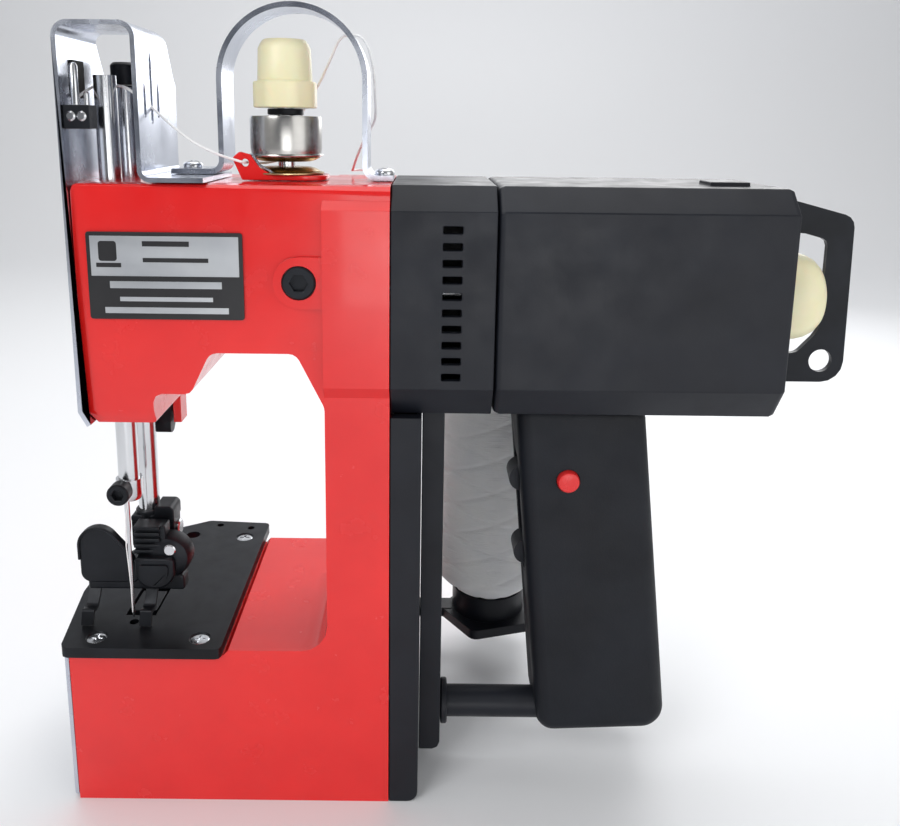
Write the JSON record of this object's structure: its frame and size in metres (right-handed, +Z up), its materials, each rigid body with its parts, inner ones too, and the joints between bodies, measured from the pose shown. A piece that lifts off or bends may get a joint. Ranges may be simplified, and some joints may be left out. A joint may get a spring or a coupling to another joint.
{
  "type": "bag closer sewing machine",
  "caption": "Hand-held bag closing machine: cast body with sewing head, needle and presser bars, motor housing, pistol grip, lift arch, thread tension unit and rear thread spool.",
  "frame": {"origin": "centre of the overall box, at the height of the base's underside", "axes": "+X from the needle towards the handwheel, +Y away from the name plate side, +Z up"},
  "size_m": [0.294, 0.127, 0.2913],
  "materials": {
    "red_paint": "gloss",
    "black_plastic": "satin",
    "black_steel": "satin",
    "bright_steel": "polished",
    "cast_aluminium": "satin",
    "bronze": "satin",
    "copper_winding": "satin",
    "cream_nylon": "satin",
    "white_thread": "matte",
    "black_rubber": "matte",
    "name_plate": "satin",
    "red_plastic": "gloss"
  },
  "bodies": {
    "frame": {"arch_screw_left": "bright_steel", "arch_screw_right": "bright_steel", "base_bottom_cover": "bright_steel", "base_left_cover": "bright_steel", "belt_cover": "black_plastic", "belt_housing": "black_plastic", "body_casting": "red_paint", "boss_screw": "black_steel", "brace_rod": "black_plastic", "cord_gland": "black_rubber", "drive_belt": "black_rubber", "front_bearing_carrier": "cast_aluminium", "grip": "black_plastic", "head_rear_cover": "red_paint", "lift_arch": "bright_steel", "motor_front_housing": "black_plastic", "motor_rear_housing": "black_plastic", "motor_stator": "copper_winding", "name_plate": "name_plate", "needle_bar_bush": "bronze", "needle_guard": "bright_steel", "plate_screw_1": "bright_steel", "plate_screw_2": "bright_steel", "plate_screw_3": "bright_steel", "presser_spring": "bright_steel", "rear_bearing_carrier": "cast_aluminium", "side_cover_screw": "bright_steel", "spool_holder": "black_plastic", "tension_bracket": "red_paint", "tension_cup": "bright_steel", "tension_discs": "bronze", "tension_stud": "bright_steel", "thread_guide_block": "black_steel", "thread_run": "white_thread", "throat_plate": "black_steel", "timing_belt": "black_rubber", "trigger_switch": "black_plastic", "upper_front_bush": "bronze", "upper_rear_bush": "bronze", "wheel_guard_plate": "black_steel"},
    "motor_rotor": {"motor_rotor": "bright_steel", "handwheel": "cream_nylon"},
    "upper_shaft": {"upper_shaft": "bright_steel", "upper_pulley": "cast_aluminium"},
    "lower_shaft": {"lower_shaft": "bright_steel"},
    "needle_bar": {"needle_bar": "bright_steel", "needle_bar_block": "black_steel", "needle": "bright_steel", "needle_clamp_screw": "black_steel"},
    "connecting_rod": {"connecting_rod": "bright_steel"},
    "presser_bar": {"presser_bar": "bright_steel", "presser_cap": "black_steel"},
    "presser_foot": {"presser_foot": "black_steel"},
    "presser_lifter": {"presser_lifter": "black_steel"},
    "feed_dog": {"feed_dog": "bright_steel"},
    "looper": {"looper": "bright_steel"},
    "trigger": {"trigger": "black_plastic"},
    "lock_button": {"lock_button": "red_plastic"},
    "tension_knob": {"tension_knob": "cream_nylon"},
    "thread_spool": {"thread_spool": "white_thread"}
  },
  "joints": [
    {"name": "motor_spin", "type": "hinge", "parent": "frame", "child": "motor_rotor", "pos_m": [0.04, -0.0285, 0.191], "axis": [1, 0, 0], "continuous": true},
    {"name": "upper_shaft_spin", "type": "hinge", "parent": "frame", "child": "upper_shaft", "pos_m": [-0.06, -0.0414, 0.2088], "axis": [1, 0, 0], "continuous": true},
    {"name": "lower_shaft_spin", "type": "hinge", "parent": "frame", "child": "lower_shaft", "pos_m": [-0.05, -0.0414, 0.032], "axis": [1, 0, 0], "continuous": true},
    {"name": "needle_bar_slide", "type": "slide", "parent": "frame", "child": "needle_bar", "axis": [0, 0, 1], "range_m": [-0.0162, 0.0078]},
    {"name": "rod_swing", "type": "hinge", "parent": "needle_bar", "child": "connecting_rod", "pos_m": [-0.112, -0.0465, 0.179], "axis": [1, 0, 0], "range_deg": [-15, 8]},
    {"name": "presser_bar_lift", "type": "slide", "parent": "frame", "child": "presser_bar", "axis": [0, 0, 1], "range_m": [0, 0.008], "stiffness_N_per_m": 500, "springref_m": -0.01, "deforming": ["presser_spring"]},
    {"name": "presser_lifter_turn", "type": "hinge", "parent": "frame", "child": "presser_lifter", "pos_m": [-0.113, -0.014, 0.14], "axis": [1, 0, 0], "range_deg": [0, 30]},
    {"name": "presser_foot_tilt", "type": "hinge", "parent": "presser_bar", "child": "presser_foot", "pos_m": [-0.118, -0.0265, 0.093], "axis": [-1, 0, 0], "range_deg": [0, 8]},
    {"name": "feed_dog_slide", "type": "slide", "parent": "frame", "child": "feed_dog", "axis": [0, 1, 0], "range_m": [-0.003, 0.003]},
    {"name": "looper_swing", "type": "hinge", "parent": "frame", "child": "looper", "pos_m": [-0.096, -0.043, 0.024], "axis": [0, 1, 0], "range_deg": [-10, 12]},
    {"name": "trigger_pull", "type": "slide", "parent": "frame", "child": "trigger", "axis": [1, 0, 0], "range_m": [0, 0.003], "stiffness_N_per_m": 600, "springref_m": -0.002},
    {"name": "lock_button_press", "type": "slide", "parent": "frame", "child": "lock_button", "axis": [0, 1, 0], "range_m": [0, 0.0025], "stiffness_N_per_m": 400, "springref_m": -0.001},
    {"name": "tension_knob_turn", "type": "hinge", "parent": "frame", "child": "tension_knob", "pos_m": [-0.06, -0.0335, 0.257], "axis": [0, 0, 1], "range_deg": [-360, 360]},
    {"name": "spool_spin", "type": "hinge", "parent": "frame", "child": "thread_spool", "pos_m": [0.0215, 0.0365, 0.0363], "axis": [0, 0, 1], "continuous": true}
  ],
  "couplings": [
    {"joint": "upper_shaft_spin", "follows": "motor_spin", "ratio": 0.4},
    {"joint": "lower_shaft_spin", "follows": "motor_spin", "ratio": 0.4},
    {"joint": "rod_swing", "follows": "needle_bar_slide", "rad_per_m": 15},
    {"joint": "presser_lifter_turn", "follows": "presser_bar_lift", "rad_per_m": 65.4}
  ]
}
